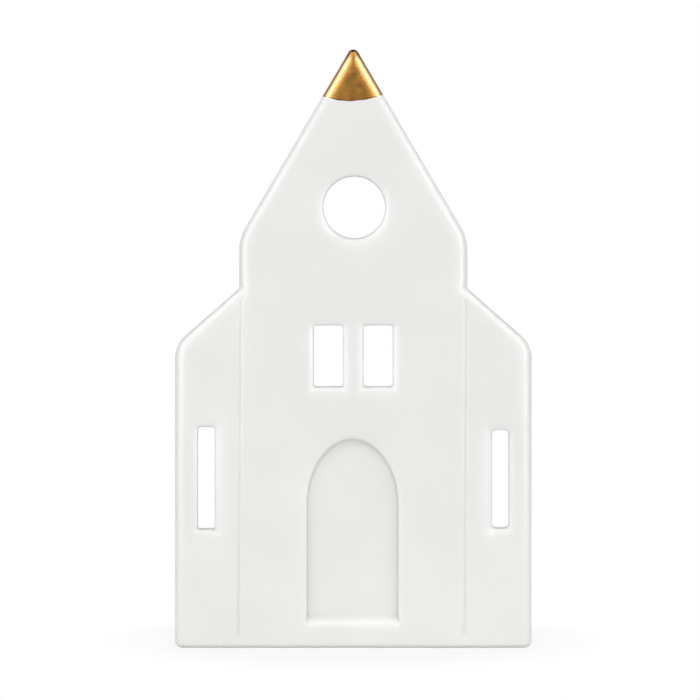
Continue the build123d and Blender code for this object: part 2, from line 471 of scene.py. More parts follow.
def below_share(points, box):
    """How squarely points lie below a window: 0 beside and above it, 1 straight below."""
    centre, half, corner_radius = box
    offset = points - centre
    away = offset - np.clip(offset, corner_radius - half, half - corner_radius)
    reach = np.maximum(np.linalg.norm(away, axis=1), weld_distance)
    return np.clip(-away[:, 1] / reach, 0, 1) ** 2


def front_depth(points):
    """Y of the front, with its rounded edges, lips, door, scribed lines and waves."""
    x, z = points.T
    relief = rounding(distance_to(points, outer_loop), edge_radius)
    crown = np.clip(1 - soft_distance(points) / crown_width, 0, 1)
    relief += crown_depth * crown**crown_power
    for box in windows:
        gap = np.maximum(box_distance(points, box), 0)
        below = below_share(points, box)
        relief += rounding(gap, lip_radius + (sill_lip_radius - lip_radius) * below)
        relief += lip_dip * np.exp(-gap / lip_dip_width)
        relief += sill_dip * np.exp(-gap / sill_dip_width) * below
    to_door = door_distance(points)
    relief += door_dip * np.exp(-np.maximum(to_door, 0) / lip_dip_width)
    foot = door_foot + (door_head_foot - door_foot) * smooth((z - door_spring) / door_arch_rise)
    cove = smooth((door_lip - to_door) / (door_lip + foot))
    to_side = np.abs(x - door_offset) - door_width / 2
    side_cove = smooth((door_lip - to_side) / (door_lip + door_foot))
    sill = side_cove * np.clip(1 - (door_sill - z) / door_sill_run, 0, 1) ** door_sill_power
    relief += (door_depth - door_dip) * np.where(z < door_sill + door_foot, sill, cove)
    relief = relief + scribe_relief(x, z) + wave_depth * unevenness(x, z)
    return front_y + film + relief


def inside_depth(points):
    """Y of the front wall's inner face, where the back of the door stands out."""
    relief = rounding(distance_to(points, inner_loop), inside_edge_radius)
    to_back = door_distance(points) - door_back_margin
    relief += door_back_depth * smooth((door_back_slope / 2 - to_back) / door_back_slope)
    for box in windows:
        relief -= rounding(np.maximum(box_distance(points, box), 0), reveal_radius)
    return front_y + wall + relief


# Surfaces, each a pair of points and faces

def guides_at(insets, window_reach, door_reach):
    """Closed lines along the edge, the windows and the door, at their distances from each."""
    return [
        *(house_loop(inset) for inset in insets),
        *(box_loop(box, outset) for box in windows for outset in window_reach),
        *(door_loop(outset) for outset in door_reach),
    ]


def grid(low, high, spacing):
    """Points of a square grid between two corners, every other row shifted by half a step."""
    rows = np.arange(low[1], high[1], spacing)
    columns = np.arange(low[0], high[0], spacing)
    across, up = np.meshgrid(columns, rows)
    across[::2] += spacing / 2
    return np.stack([across.ravel(), up.ravel()], axis=1)


def free_spots(outline, spacing, edge_room, window_room):
    """Grid points of a face that keep clear of its edge and of the windows."""
    spots = grid(outline.min(0), outline.max(0), spacing)
    free = lies_inside(spots, outline)
    free &= distance_to(spots, outline) > edge_room + spacing / 2
    for box in windows:
        free &= box_distance(spots, box) > window_room + spacing / 2
    return spots[free]


def plane_sheet(outline, holes, loops, spots, lines=()):
    """Triangles that fill an outline around its holes, with edges along closed loops and lines."""
    points, edges = [], []
    closed = [outline, *holes, *loops]
    for number, line in enumerate([*closed, *lines]):
        first = len(points)
        points.extend(line)
        edges.extend((first + k, first + k + 1) for k in range(len(line) - 1))
        if number < len(closed):
            edges.append((len(points) - 1, first))
    points.extend(spots)
    flat, _, triangles, *_ = delaunay_2d_cdt(
        [Vector(p) for p in points], edges, [], 0, weld_distance, False
    )
    flat = np.array([tuple(p) for p in flat])
    triangles = np.array(triangles)
    a, b, c = flat[triangles].transpose(1, 0, 2)
    centres = (a + b + c) / 3
    (x1, z1), (x2, z2) = (b - a).T, (c - a).T
    doubled_area = np.abs(x1 * z2 - z1 * x2)
    longest = np.linalg.norm([b - a, c - b, a - c], axis=2).max(0)
    # A row of points along a straight edge can hold triangles of no height
    kept = doubled_area > longest * weld_distance / 10
    kept &= lies_inside(centres, outline)
    for hole in holes:
        kept &= ~lies_inside(centres, hole)
    return flat, triangles[kept]


def raised(flat, y):
    """Points of the front view at the depth y."""
    return np.stack([flat[:, 0], np.broadcast_to(y, len(flat)), flat[:, 1]], axis=1)


def strip(rows, skipped=()):
    """Quads between each closed row of points and the next."""
    count = len(rows[0])
    columns = np.array([k for k in range(count) if k not in skipped])
    faces = []
    for row in range(len(rows) - 1):
        near, far = row * count, (row + 1) * count
        after = (columns + 1) % count
        faces.append(np.stack([near + columns, near + after, far + after, far + columns], axis=1))
    return np.concatenate(rows), np.concatenate(faces)


def make_front():
    """Front face, with edges along everything that is shaped in it."""
    scribe_z = np.arange(scribe_foot, scribe_head, run_spacing)
    lines = [
        np.stack([scribe_x(head_x, scribe_z) + offset, scribe_z], axis=1)
        for head_x in scribe_heads_x
        for offset in scribe_offsets
    ]
    ridge = house_corners(film)[4][1]
    left_x, right_x = (roof_stop(side, ridge, front_y)[0] for side in (-1, 1))
    arc_x = np.linspace(left_x, right_x, gilding_end_points)
    lines.append(np.stack([arc_x, gilding_line(arc_x, front_y)], axis=1))
    loops = guides_at([film + inset for inset in edge_insets], lip_outsets, door_outsets)
    spots = free_spots(outer_loop, sheet_spacing, edge_insets[-1], lip_outsets[-1])
    room = sheet_spacing / 2
    to_door = door_distance(spots)
    free = (to_door > door_outsets[0] + room) | (to_door < door_outsets[-1] - room)
    for head_x in scribe_heads_x:
        free &= np.abs(spots[:, 0] - scribe_x(head_x, spots[:, 1])) > scribe_offsets[-1] + room
    flat, triangles = plane_sheet(outer_loop, window_loops, loops, spots[free], lines)
    return raised(flat, front_depth(flat)), triangles


def make_inside():
    """Inner face of the front wall."""
    loops = guides_at([wall + inset for inset in inside_insets], reveal_outsets, door_back_outsets)
    spots = free_spots(inner_loop, inside_spacing, inside_insets[-1], reveal_outsets[-1])
    free = np.abs(door_distance(spots) - door_back_margin) > inside_spacing / 2
    flat, triangles = plane_sheet(inner_loop, window_loops, loops, spots[free])
    return raised(flat, inside_depth(flat)), triangles


def side_rows(inset, first_y):
    """Rows of a wall from the front, at first_y, to where the back rim begins."""
    rows = []
    for share in np.linspace(0, 1, round((rim_y - front_y) / station_spacing)):
        loop = house_loop(inset, front_y + share * (rim_y - front_y))
        rows.append(raised(loop, first_y + share * (rim_y - first_y)))
    return rows


def rim_rows():
    """Rows of the back rim: its outer rounding with the flat, then its inner rounding."""
    quarter = np.linspace(0, pi / 2, rim_points)
    outer = [(film + rim_radius * (1 - cos(a)), rim_y + rim_radius * sin(a)) for a in quarter]
    flat_start, flat_y = outer[-1]
    flat_insets = np.linspace(flat_start, wall - rim_radius, rim_flat_points)[1:]
    outer += [(inset, flat_y) for inset in flat_insets]
    inner = [(wall - rim_radius * (1 - sin(a)), rim_y + rim_radius * cos(a)) for a in quarter]
    return [[raised(house_loop(inset, rim_y), y) for inset, y in rows] for rows in (outer, inner)]


def make_foot(rows, under):
    """Underside: a ring to stand on, round a shallow recess."""
    front_side = rows[0][under]
    back_side = rows[-1][under]
    left_side = np.array([row[under[0]] for row in rows])
    right_side = np.array([row[under[-1]] for row in rows])
    outline = np.concatenate(
        [front_side, right_side[1:], back_side[::-1][1:], left_side[::-1][1:-1]]
    )
    level = outline[0, 2]
    centre = np.array([0, (front_y + back_y) / 2])
    half = np.array([house_width, back_y - front_y]) / 2 - foot_width
    recess = (centre, half, foot_corner_radius)
    loops = [box_loop(recess, outset) for outset in foot_outsets]
    spots = grid(centre - half, centre + half, inside_spacing)
    free = box_distance(spots, recess) < foot_outsets[-1] - inside_spacing / 2
    flat, triangles = plane_sheet(outline[:, :2], [], loops, spots[free])
    slope = (foot_outsets[0] - box_distance(flat, recess)) / (foot_outsets[0] - foot_outsets[-2])
    z = level + foot_recess * smooth(slope)
    return np.stack([flat[:, 0], flat[:, 1], z], axis=1), triangles


def make_reveal(loop):
    """Sides of a window through the thickness of the wall."""
    near_y, far_y = front_depth(loop), inside_depth(loop)
    shares = np.linspace(0, 1, reveal_rows)
    return strip([raised(loop, near_y + (far_y - near_y) * share) for share in shares])


def placed(name, data):
    """A new object in the scene."""
    thing = bpy.data.objects.new(name, data)
    bpy.context.scene.collection.objects.link(thing)
    return thing


def mesh_object(name, points, faces, material):
    """A new mesh object in the scene, in metres."""
    mesh = bpy.data.meshes.new(name)
    mesh.from_pydata(points, [], faces)
    mesh.materials.append(material)
    return placed(name, mesh)


@contextmanager
def edited(piece):
    """The mesh of a piece, open for changes that are written back at the end."""
    shape = bmesh.new()
    shape.from_mesh(piece.data)
    yield shape
    shape.to_mesh(piece.data)
    shape.free()


def make_piece(name, surfaces, body, material):
    """Welds surfaces into one smooth mesh object that rides on a body."""
    points, faces, first = [], [], 0
    for surface_points, surface_faces in surfaces:
        points.append(surface_points)
        faces.extend((surface_faces + first).tolist())
        first += len(surface_points)
    piece = mesh_object(name, (np.concatenate(points) * MM).tolist(), faces, material)
    with edited(piece) as shape:
        bmesh.ops.remove_doubles(shape, verts=shape.verts, dist=weld_distance * MM)
        bmesh.ops.delete(shape, geom=[v for v in shape.verts if not v.link_faces], context="VERTS")
        bmesh.ops.recalc_face_normals(shape, faces=shape.faces)
        for face in shape.faces:
            face.smooth = True
    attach(piece, body)
    return piece


def make_shell(material):
    """The porcelain casting: front, outer walls, back rim, room inside, windows and foot."""
    outside = side_rows(film, front_depth(outer_loop))
    inside = side_rows(wall, inside_depth(inner_loop))
    outer_rim, inner_rim = rim_rows()
    count = len(outer_loop)
    under = [*range(count - run_counts[under_floor], count), 0]
    gildable = [make_front(), strip(outside, under[:-1]), strip(outer_rim)]
    others = [strip(inner_rim), strip(inside), make_inside(), make_foot(outside, under)]
    reveals = [make_reveal(loop) for loop in window_loops]
    surfaces = [*gildable, *others, *reveals]
    shell = make_piece("porcelain_house", surfaces, "house", material)
    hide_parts("house_shell")
    return gildable


def make_gilding(gildable, material):
    """The film of gold lustre: the outer faces above the gilding line, lifted off the glaze."""
    gilded = []
    for points, faces in gildable:
        centres = points[faces].mean(1)
        near = np.abs(centres[:, 0]) < gilding_arc_radius / 2
        line = gilding_line(np.where(near, centres[:, 0], 0), np.minimum(centres[:, 1], rim_y))
        gilded.append((points, faces[near & (centres[:, 2] > line)]))
    piece = make_piece("gold_lustre_tip", gilded, "house", material)
    with edited(piece) as shape:
        shape.normal_update()
        for vertex in shape.verts:
            vertex.co += vertex.normal * film * MM
        for edge in shape.edges:
            edge.smooth = not edge.is_boundary
    thickness = piece.modifiers.new("film", "SOLIDIFY")
    thickness.thickness = film_thickness * MM
    thickness.offset = -1
    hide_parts("gilded_tip")


# Tealight

cup_low, cup_high = node_box("tealight_cup")
wax_low, wax_high = node_box("candle_wax")
wick_low, wick_high = node_box("candle_wick")
tealight_y = (cup_low[1] + cup_high[1]) / 2
cup_sheet = 0.3
cup_bead_radius = 0.45
cup_corner_radius = 1.2
cup_foot_width = 3.0
cup_panel_rise = 0.5
cup_ring_radius = 9.5
cup_ring_width = 0.9
cup_ring_depth = 0.2
cup_flutes = 60
cup_flute_depth = 0.05
cup_flute_fade = 2.0
cup_panel_flat_share = 0.95
cup_panel_points = 24
cup_bead_points = 15
wax_bevel = 0.9
wax_dish = 0.6
wax_dish_steepness = 1.6
wax_dish_points = 30
wax_meniscus = 0.3
wax_meniscus_width = 0.9
wax_wave = 0.05
wax_wave_scale = 5
wax_wave_start = 3.0
wick_radius = 0.8
wick_clearance = 0.05
wick_bend_angle = radians(24)
wick_bend_radius = 3.0
wick_bent_length = 3.4
strand_count = 3
strand_radius = 0.42
strand_sides = 12
strand_taper = 0.6
strand_tip_share = 0.05
braid_radius = 0.36
braid_pitch = 3.6
braid_rings = 16
sustainer_radius = 6.0
sustainer_sheet = 0.3
sustainer_neck_height = 3.6
turning_steps = 120
profile_corner_steps = 5


def rounded_line(corners, radii):
    """Open line with rounded corners. A radius of 0 leaves its corner sharp."""
    points = [np.array(corners[0], float)]
    for before, corner, after, radius in zip(corners, corners[1:], corners[2:], radii):
        if radius:
            points.extend(arc_points(corner, before, after, radius, profile_corner_steps))
        else:
            points.append(np.array(corner, float))
    points.append(np.array(corners[-1], float))
    return points


def turned(profile, shift):
    """Turns a closed profile of radius and height round the tealight's axis.

    shift(angle, radius, height) gives how far each point moves outwards and up.
    """
    angles = np.linspace(0, 2 * pi, turning_steps, endpoint=False)
    rows = []
    for radius, height in [*profile, profile[0]]:
        outwards, up = shift(angles, radius, height)
        reach = radius + outwards
        rows.append(np.stack(
            [reach * np.cos(angles), tealight_y + reach * np.sin(angles), height + up], axis=1
        ))
    return strip(rows)


def make_cup(material):
    """Pressed cup with a rolled rim, a raised panel underneath and a ring pressed into it."""
    base = cup_low[2]
    bead_z = cup_high[2] - cup_bead_radius
    bead_x = cup_high[0] - cup_bead_radius
    inner = bead_x - cup_bead_radius
    outer = inner + cup_sheet
    step = outer - cup_foot_width
    panel = step - cup_panel_rise
    meeting = acos((outer - bead_x) / cup_bead_radius)
    bead = [
        (bead_x + cup_bead_radius * cos(a), bead_z + cup_bead_radius * sin(a))
        for a in np.linspace(-meeting, pi, cup_bead_points)
    ]
    ring_radii = np.linspace(panel * cup_panel_flat_share, 0, cup_panel_points)
    ring = [(radius, base + cup_panel_rise) for radius in ring_radii]
    under = rounded_line(
        [*ring[::-1], (panel, base + cup_panel_rise), (step, base), (outer, base), bead[0]],
        [*[0] * (len(ring) - 1), cup_sheet, cup_sheet, cup_corner_radius],
    )
    over = rounded_line(
        [bead[-1], (inner, base + cup_sheet), (step, base + cup_sheet),
         (panel, base + cup_panel_rise + cup_sheet),
         *[(r, z + cup_sheet) for r, z in ring]],
        [cup_corner_radius - cup_sheet, cup_sheet, cup_sheet, *[0] * (len(ring) - 1)],
    )

    def shift(angles, radius, height):
        ring_depth = cup_ring_depth * np.exp(-(((radius - cup_ring_radius) / cup_ring_width) ** 2))
        on_wall = smooth(radius - step) * smooth((bead_z - height) / cup_flute_fade)
        flutes = cup_flute_depth * (0.5 + 0.5 * np.cos(cup_flutes * angles)) * on_wall
        return -flutes, -ring_depth * np.ones(turning_steps)

    turning = turned([*under, *bead[1:], *over[1:]], shift)
    cup = make_piece("aluminium_cup", [turning], "tealight", material)
    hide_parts("tealight_cup")


def make_wax(material):
    """Wax with a shallow dish that climbs a little at the wick, hollow round the wick's foot."""
    radius = wax_high[0]
    base, top = wax_low[2], wax_high[2]
    hole = wick_radius + wick_clearance
    neck = hole + sustainer_sheet + wick_clearance
    pocket = sustainer_radius + wick_clearance
    dish_x = np.linspace(radius - wax_bevel, hole, wax_dish_points)
    share = (radius - wax_bevel - dish_x) / (radius - wax_bevel - hole)
    dish_z = top - wax_dish * smooth(share * wax_dish_steepness)
    dish_z += wax_meniscus * np.exp(-(dish_x - hole) / wax_meniscus_width)
    outside = rounded_line(
        [(hole, base + sustainer_neck_height), (neck, base + sustainer_neck_height),
         (neck, base + sustainer_sheet), (pocket, base + sustainer_sheet), (pocket, base),
         (radius, base), (radius, top), (dish_x[1], dish_z[1])],
        [0, 0, 0, 0, wax_bevel, wax_bevel],
    )

    def shift(angles, reach, height):
        on_top = smooth((reach - hole) / wax_wave_start)
        on_top *= smooth((height - top + 2 * wax_bevel) / wax_bevel)
        x = wax_wave_scale * reach * np.cos(angles)
        y = wax_wave_scale * reach * np.sin(angles)
        return np.zeros(turning_steps), -wax_wave * on_top * unevenness(x, y)

    profile = [*outside[:-1], *zip(dish_x[1:], dish_z[1:])]
    wax = make_piece("paraffin_wax", [turned(profile, shift)], "candle", material)
    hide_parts("candle_wax")


def wick_point(run):
    """Point on the wick's middle line and its lean, after a run along it from its foot."""
    reach = wick_bend_radius * tan(wick_bend_angle / 2)
    rise = wick_high[2] - wick_low[2] - strand_radius
    upright = rise - wick_bent_length * cos(wick_bend_angle) - reach
    arc = wick_bend_radius * wick_bend_angle
    lean = min(max(run - upright, 0) / wick_bend_radius, wick_bend_angle)
    beyond = max(run - upright - arc, 0)
    x = wick_bend_radius * (1 - cos(lean)) + beyond * sin(lean)
    z = min(run, upright) + wick_bend_radius * sin(lean) + beyond * cos(lean)
    return np.array([x, tealight_y, wick_low[2] + z]), lean


def make_wick(material):
    """Cotton strands laid round each other, leaning over at the top."""
    length = wick_high[2] - wick_low[2] - 2 * strand_radius
    rings = round(length / braid_pitch * braid_rings)
    sides = np.linspace(0, 2 * pi, strand_sides, endpoint=False)
    along_y = np.array([0, 1, 0])
    strands = []
    for strand in range(strand_count):
        rows = []
        for run in np.linspace(0, length, rings):
            middle, lean = wick_point(run)
            across = np.array([cos(lean), 0, -sin(lean)])
            turn = 2 * pi * (run / braid_pitch + strand / strand_count)
            centre = middle + braid_radius * (cos(turn) * across + sin(turn) * along_y)
            tip_share = 1 - smooth((run - length + strand_taper) / strand_taper)
            circle = np.cos(sides)[:, None] * across + np.sin(sides)[:, None] * along_y
            rows.append(centre + strand_radius * max(strand_tip_share, tip_share) * circle)
        strands.append(strip(rows))
    wick = make_piece("cotton_wick", strands, "candle", material)
    with edited(wick) as shape:
        bmesh.ops.holes_fill(shape, edges=[e for e in shape.edges if e.is_boundary])
        bmesh.ops.recalc_face_normals(shape, faces=shape.faces)
    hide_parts("candle_wick")


# Materials

def fill_inputs(node, values):
    """Links each input whose value is a socket, and sets any other."""
    for name, value in values.items():
        if isinstance(value, bpy.types.NodeSocket):
            node.id_data.links.new(value, node.inputs[name])
        else:
            node.inputs[name].default_value = value


def add_node(near, kind, values, **settings):
    """Adds a shader node to a tree, given by itself, by one of its nodes or by a socket."""
    node = near.id_data.nodes.new("ShaderNode" + kind)
    for name, value in settings.items():
        setattr(node, name, value)
    fill_inputs(node, values)
    return node


def new_material(name, roughness, metallic=0.0):
    """A material, its shader and the object's own coordinates."""
    material = bpy.data.materials.new(name)
    material.use_nodes = True
    shader = material.node_tree.nodes["Principled BSDF"]
    fill_inputs(shader, {"Roughness": roughness, "Metallic": metallic})
    return material, shader, add_node(shader, "TexCoord", {}).outputs["Object"]


def noise(place, size, detail=2.0, stretch=(1, 1, 1)):
    """Noise with features of about size millimetres, stretched along the axes."""
    if stretch != (1, 1, 1):
        place = add_node(place, "Mapping", {"Vector": place, "Scale": stretch}).outputs[0]
    values = {"Vector": place, "Scale": 1 / (size * MM), "Detail": detail}
    return add_node(place, "TexNoise", values).outputs["Fac"]


def ramp(factor, colors, low=0.3, high=0.7):
    """Runs from one colour to another as the factor goes from low to high."""
    node = add_node(factor, "ValToRGB", {"Fac": factor})
    for element, position, color in zip(node.color_ramp.elements, (low, high), colors):
        element.position = position
        element.color = (*color, 1)
    return node.outputs["Color"]


def ranged(value, low, high, to_low, to_high):
    """A value taken from one range to another, held at both ends."""
    return add_node(value, "MapRange", {
        "Value": value, "From Min": low, "From Max": high, "To Min": to_low, "To Max": to_high,
    }).outputs["Result"]


def worked_out(operation, *values):
    """Result of a sum on one, two or three values, the first of them a socket."""
    return add_node(values[0], "Math", dict(enumerate(values)), operation=operation).outputs[0]


def part_of(vector, axis):
    """One coordinate of a vector."""
    return add_node(vector, "SeparateXYZ", {"Vector": vector}).outputs[axis]


def blended(factor, first, second):
    """One number blended into another."""
    return add_node(factor, "Mix", {"Factor": factor, "A": first, "B": second}).outputs["Result"]


def mixed(factor, first, second):
    """One colour blended into another, which is given as plain numbers or as a socket."""
    if isinstance(second, tuple):
        second = (*second, 1)
    values = {"Fac": factor, "Color1": first, "Color2": second}
    return add_node(factor, "MixRGB", values).outputs["Color"]


def bumped(height, depth):
    """Normal of a surface raised by height, to a depth in millimetres."""
    values = {"Height": height, "Distance": depth * MM, "Strength": 1}
    return add_node(height, "Bump", values).outputs["Normal"]


def facing(shader):
    """Direction the surface faces: Y is -1 on the front, and Z is 1 where it looks up."""
    return add_node(shader, "NewGeometry", {}).outputs["Normal"]


# Glaze: colours, the painted shade and light on them, and how rough and how coated the surface is
glaze_colors = [(0.80, 0.795, 0.782), (0.825, 0.82, 0.808)]
grit_colors = [(0.72, 0.69, 0.63), (0.8, 0.78, 0.73)]
# Painted shade: how far the ambient occlusion reaches, and how dark it paints the nooks and the
# door
painted_shade_reach = 6.0
painted_nook_shade_tone = 0.62
painted_door_shade_tone = 0.66
# Painted light: the colour runs a little lighter towards the foot and darker towards the gable
painted_foot_light = 1.03
painted_gable_shade = 0.985
painted_light_gradient_height = 200.0
# Painted shade on the rounded edges that look up
painted_upturned_shade_tone = 0.8
satin_roughness = (0.3, 0.38)
matt_roughness = 0.6
bare_roughness = 0.85
satin_coat = 0.6
matt_coat = 0.1
glaze_coat_roughness = 0.2
glaze_bump = 0.006


def glaze_material():
    """White satin glaze with painted shade in its nooks and on edges that look up, painted a
    little lighter towards the foot, more matt on the flanks and inside, and the bare foot that it
    was fired on."""
    material, shader, place = new_material("glazed_porcelain", sum(satin_roughness) / 2)
    height = part_of(place, "Z")
    direction = facing(shader)
    back, up = part_of(direction, "Y"), part_of(direction, "Z")
    near_floor = ranged(height, 0.9 * MM, 1.1 * MM, 1, 0)
    bare = worked_out("MULTIPLY", near_floor, ranged(up, -0.8, -0.5, 1, 0))
    glaze = ramp(noise(place, 34), glaze_colors, 0.35, 0.65)
    color = mixed(bare, glaze, ramp(noise(place, 0.7, 4), grit_colors))

    # Painted shade: ambient occlusion darkens the colour in the door, the window reveals and other
    # hollows, where shade falls
    nook = add_node(shader, "AmbientOcclusion", {"Distance": painted_shade_reach * MM},
                    samples=8, only_local=True)
    deepest = ranged(back, -0.9, -0.6, painted_door_shade_tone, painted_nook_shade_tone)
    painted_nook_shade = ranged(nook.outputs["AO"], 0, 1, deepest, 1)
    # Painted light and shade: lighter towards the foot, darker towards the gable
    painted_height_light = ranged(height, 0, painted_light_gradient_height * MM, painted_foot_light, painted_gable_shade)
    # Painted shade: the rounded front edges that look up are darkened
    rounded_edge = worked_out("MINIMUM", ranged(back, -0.8, -0.6, 0, 1),
                              ranged(back, -0.35, -0.1, 1, 0))
    painted_upturned_shade = worked_out("MINIMUM", ranged(up, 0.4, 0.65, 0, 1), rounded_edge)
    shade = worked_out("MULTIPLY", painted_nook_shade, painted_height_light)
    shade = worked_out("MULTIPLY", shade, ranged(painted_upturned_shade, 0, 1, 1, painted_upturned_shade_tone))
    shaded = add_node(shader, "VectorMath", {0: color, "Scale": shade}, operation="SCALE")

    flank = ranged(back, -0.5, -0.1, 0, 1)
    satin = ranged(noise(place, 9, 3), 0.3, 0.7, *satin_roughness)
    fill_inputs(shader, {
        "Base Color": shaded.outputs[0],
        "Roughness": blended(bare, blended(flank, satin, matt_roughness), bare_roughness),
        "Coat Weight": ranged(flank, 0, 1, satin_coat, matt_coat),
        "Coat Roughness": glaze_coat_roughness,
        "Normal": bumped(noise(place, 2.6, 3), glaze_bump),
    })
    return material


# Gold lustre: colours and painted shades, how much of each shows, how rough and how coated the
# surface is
gold_colors = [(0.9, 0.4, 0.055), (0.96, 0.45, 0.075)]
thin_color = (0.2, 0.07, 0.02)
thin_width = 0.7
thin_share = 0.75
# Painted shade at the front of the ridge: a dark reflection painted into the colour, with less
# coat there
painted_ridge_shade_color = (0.16, 0.09, 0.02)
painted_ridge_shade_share = 0.75
painted_ridge_shade_start = 4.6
painted_ridge_shade_full = 2.2
# Painted shade on the turned edges, where a dark grazing reflection falls
painted_edge_shade_color = (0.16, 0.075, 0.025)
painted_edge_shade_share = 0.8
# Painted shade on the slopes, which dims the lamps' reflection there
painted_flank_shade_color = (0.35, 0.16, 0.025)
painted_flank_shade_share = 0.5
gold_roughness = (0.22, 0.27)
gold_flank_roughness = 0.65
painted_ridge_shade_coat = 0.2
flank_coat = 0.15
gold_coat_ior = 2.2
gold_coat_roughness = 0.14
gold_bump = 0.008


def gold_material():
    """Gold lustre brushed on the glaze: mottled, brown where it thins out at its end, with painted
    shade along its edges, at the front of the ridge and on the slopes, which are also more matt."""
    material, shader, place = new_material("gold_lustre", sum(gold_roughness) / 2, 1.0)
    color = ramp(noise(place, 3.4, 4), gold_colors, 0.32, 0.68)
    arc_centre = (gilding_shift * MM, 0, gilding_arc_height * MM)
    flat = add_node(shader, "VectorMath", {0: place, 1: (1, 0, 1)}, operation="MULTIPLY")
    reach = add_node(shader, "VectorMath", {0: flat.outputs[0], 1: arc_centre},
                     operation="DISTANCE")
    thin = ranged(reach.outputs["Value"], (gilding_arc_radius - thin_width) * MM,
                  gilding_arc_radius * MM, 0, thin_share)
    back = part_of(facing(shader), "Y")
    # Painted shade: the front of the ridge is darkened where a dark reflection falls
    near_ridge = ranged(part_of(place, "Z"), (house_height - painted_ridge_shade_start) * MM,
                        (house_height - painted_ridge_shade_full) * MM, 0, painted_ridge_shade_share)
    painted_ridge_shade = worked_out("MINIMUM", near_ridge, ranged(back, -0.4, -0.1, painted_ridge_shade_share, 0))
    square = worked_out("ABSOLUTE", back)
    # Painted shade: the steep part of the edge roundings is darkened
    painted_edge_shade = worked_out("MINIMUM", ranged(square, 0.08, 0.3, 0, painted_edge_shade_share),
                      ranged(square, 0.68, 0.86, painted_edge_shade_share, 0))
    flank = ranged(square, 0.1, 0.4, 1, 0)
    # Painted shade: the slopes' colour is darkened
    painted_flank_shade = ranged(flank, 0, 1, 0, painted_flank_shade_share)
    layers = [(thin, thin_color), (painted_ridge_shade, painted_ridge_shade_color), (painted_edge_shade, painted_edge_shade_color), (painted_flank_shade, painted_flank_shade_color)]
    for share, shade in layers:
        color = mixed(share, color, shade)

    gloss = ranged(noise(place, 2.4, 2), 0.3, 0.7, *gold_roughness)
    fill_inputs(shader, {
        "Base Color": color,
        "Roughness": blended(flank, gloss, gold_flank_roughness),
        "Coat Weight": worked_out("MINIMUM", ranged(painted_ridge_shade, 0, painted_ridge_shade_share, 1, painted_ridge_shade_coat),
                                  ranged(flank, 0, 1, 1, flank_coat)),
        "Coat IOR": gold_coat_ior,
        "Coat Roughness": gold_coat_roughness,
        "Normal": bumped(noise(place, 3.0, 2), gold_bump),
    })
    return material


# Finishes of the tealight: its marks as size, detail and stretch, their two colours and depth,
# the roughness, one value or two that the marks run between, metallic and sheen
finishes = {
    "pressed_aluminium": ((0.5, 3, (1, 1, 0.06)), [(0.74, 0.745, 0.755), (0.86, 0.865, 0.87)],
                          0.01, (0.22, 0.38), 1.0, 0.0),
    "tinplate": ((0.8, 4, (0.1, 1, 1)), [(0.62, 0.62, 0.63), (0.78, 0.78, 0.79)],
                 0.008, (0.25, 0.42), 1.0, 0.0),
    "waxed_cotton": ((0.22, 4, (1, 1, 0.25)), [(0.66, 0.63, 0.54), (0.86, 0.84, 0.77)],
                     0.04, (0.7,), 0.0, 0.2),
}


def marked_material(name):
    """One of the finishes: upright drawing marks, faint rolling marks, or waxed fibres."""
    marks, colors, depth, roughness, metallic, sheen = finishes[name]
    material, shader, place = new_material(name, roughness[0], metallic)
    pattern = noise(place, *marks)
    if len(roughness) == 2:
        fill_inputs(shader, {"Roughness": ranged(pattern, 0.3, 0.7, *roughness)})
    fill_inputs(shader, {
        "Base Color": ramp(pattern, colors),
        "Sheen Weight": sheen,
        "Normal": bumped(pattern, depth),
    })
    return material


# Wax
wax_colors = [(0.84, 0.825, 0.775), (0.88, 0.868, 0.825)]
wax_roughness = 0.42
wax_translucence = 0.25
wax_scatter = (1.0, 0.85, 0.6)
wax_scatter_depth = 1.5
wax_bump = 0.02


def wax_material():
    """White paraffin wax, a little translucent, faintly clouded."""
    material, shader, place = new_material("paraffin", wax_roughness)
    fill_inputs(shader, {
        "Base Color": ramp(noise(place, 6, 3), wax_colors),
        "Subsurface Weight": wax_translucence,
        "Subsurface Radius": wax_scatter,
        "Subsurface Scale": wax_scatter_depth * MM,
        "Normal": bumped(noise(place, 1.8, 3), wax_bump),
    })
    return material


# Stage, in metres and watts. A lamp is its place, its size and its power. A card is two of its
# corners, the way from them to the other two, and its level
floor_half_width = 3.0
floor_color = (0.66, 0.66, 0.66, 1)
backdrop_share_near = 0.85
backdrop_near = 0.065
backdrop_far = 0.105
ambient_level = 0.22
ambient_top = 0.42
ambient_side = 0.42
lamps = {
    "brow_lamp": ((0, -1.2, 1.25), (0.5, 0.25), 1.3),
    "left_softbox": ((-1.55, -1.1, 2.1), (1.4, 1.4), 11.0),
    "left_strip": ((-0.44, -0.95, 0.3), (0.24, 0.74), 2.3),
    "right_softbox": ((1.55, -1.1, 2.1), (1.4, 1.4), 11.0),
    "right_strip": ((0.44, -0.95, 0.3), (0.24, 0.74), 2.3),
}
cards = {
    "middle_card": ((-0.2, -1.2, -0.3), (0.2, -1.2, -0.3), (0, 0, 0.92), 0.065),
    "left_card": ((-1.15, -0.6, -0.2), (-1.3, 0.6, -0.2), (0, 0, 1.6), 0.6),
    "right_card": ((1.15, -0.6, -0.2), (1.3, 0.6, -0.2), (0, 0, 1.6), 0.6),
    "back_card": ((-1.3, 0.6, -0.2), (1.3, 0.6, -0.2), (0, 0, 1.6), 0.6),
    "top_card": ((-1.0, -0.75, 1.4), (1.0, -0.75, 1.4), (0, 1.35, 0), 0.1),
}


def seen_flag(tree):
    """1 for rays from the camera, a reflection or through glass, 0 for the rest."""
    path = add_node(tree, "LightPath", {}).outputs
    seen = worked_out("MAXIMUM", path["Is Camera Ray"], path["Is Glossy Ray"])
    return worked_out("MAXIMUM", seen, path["Is Transmission Ray"])


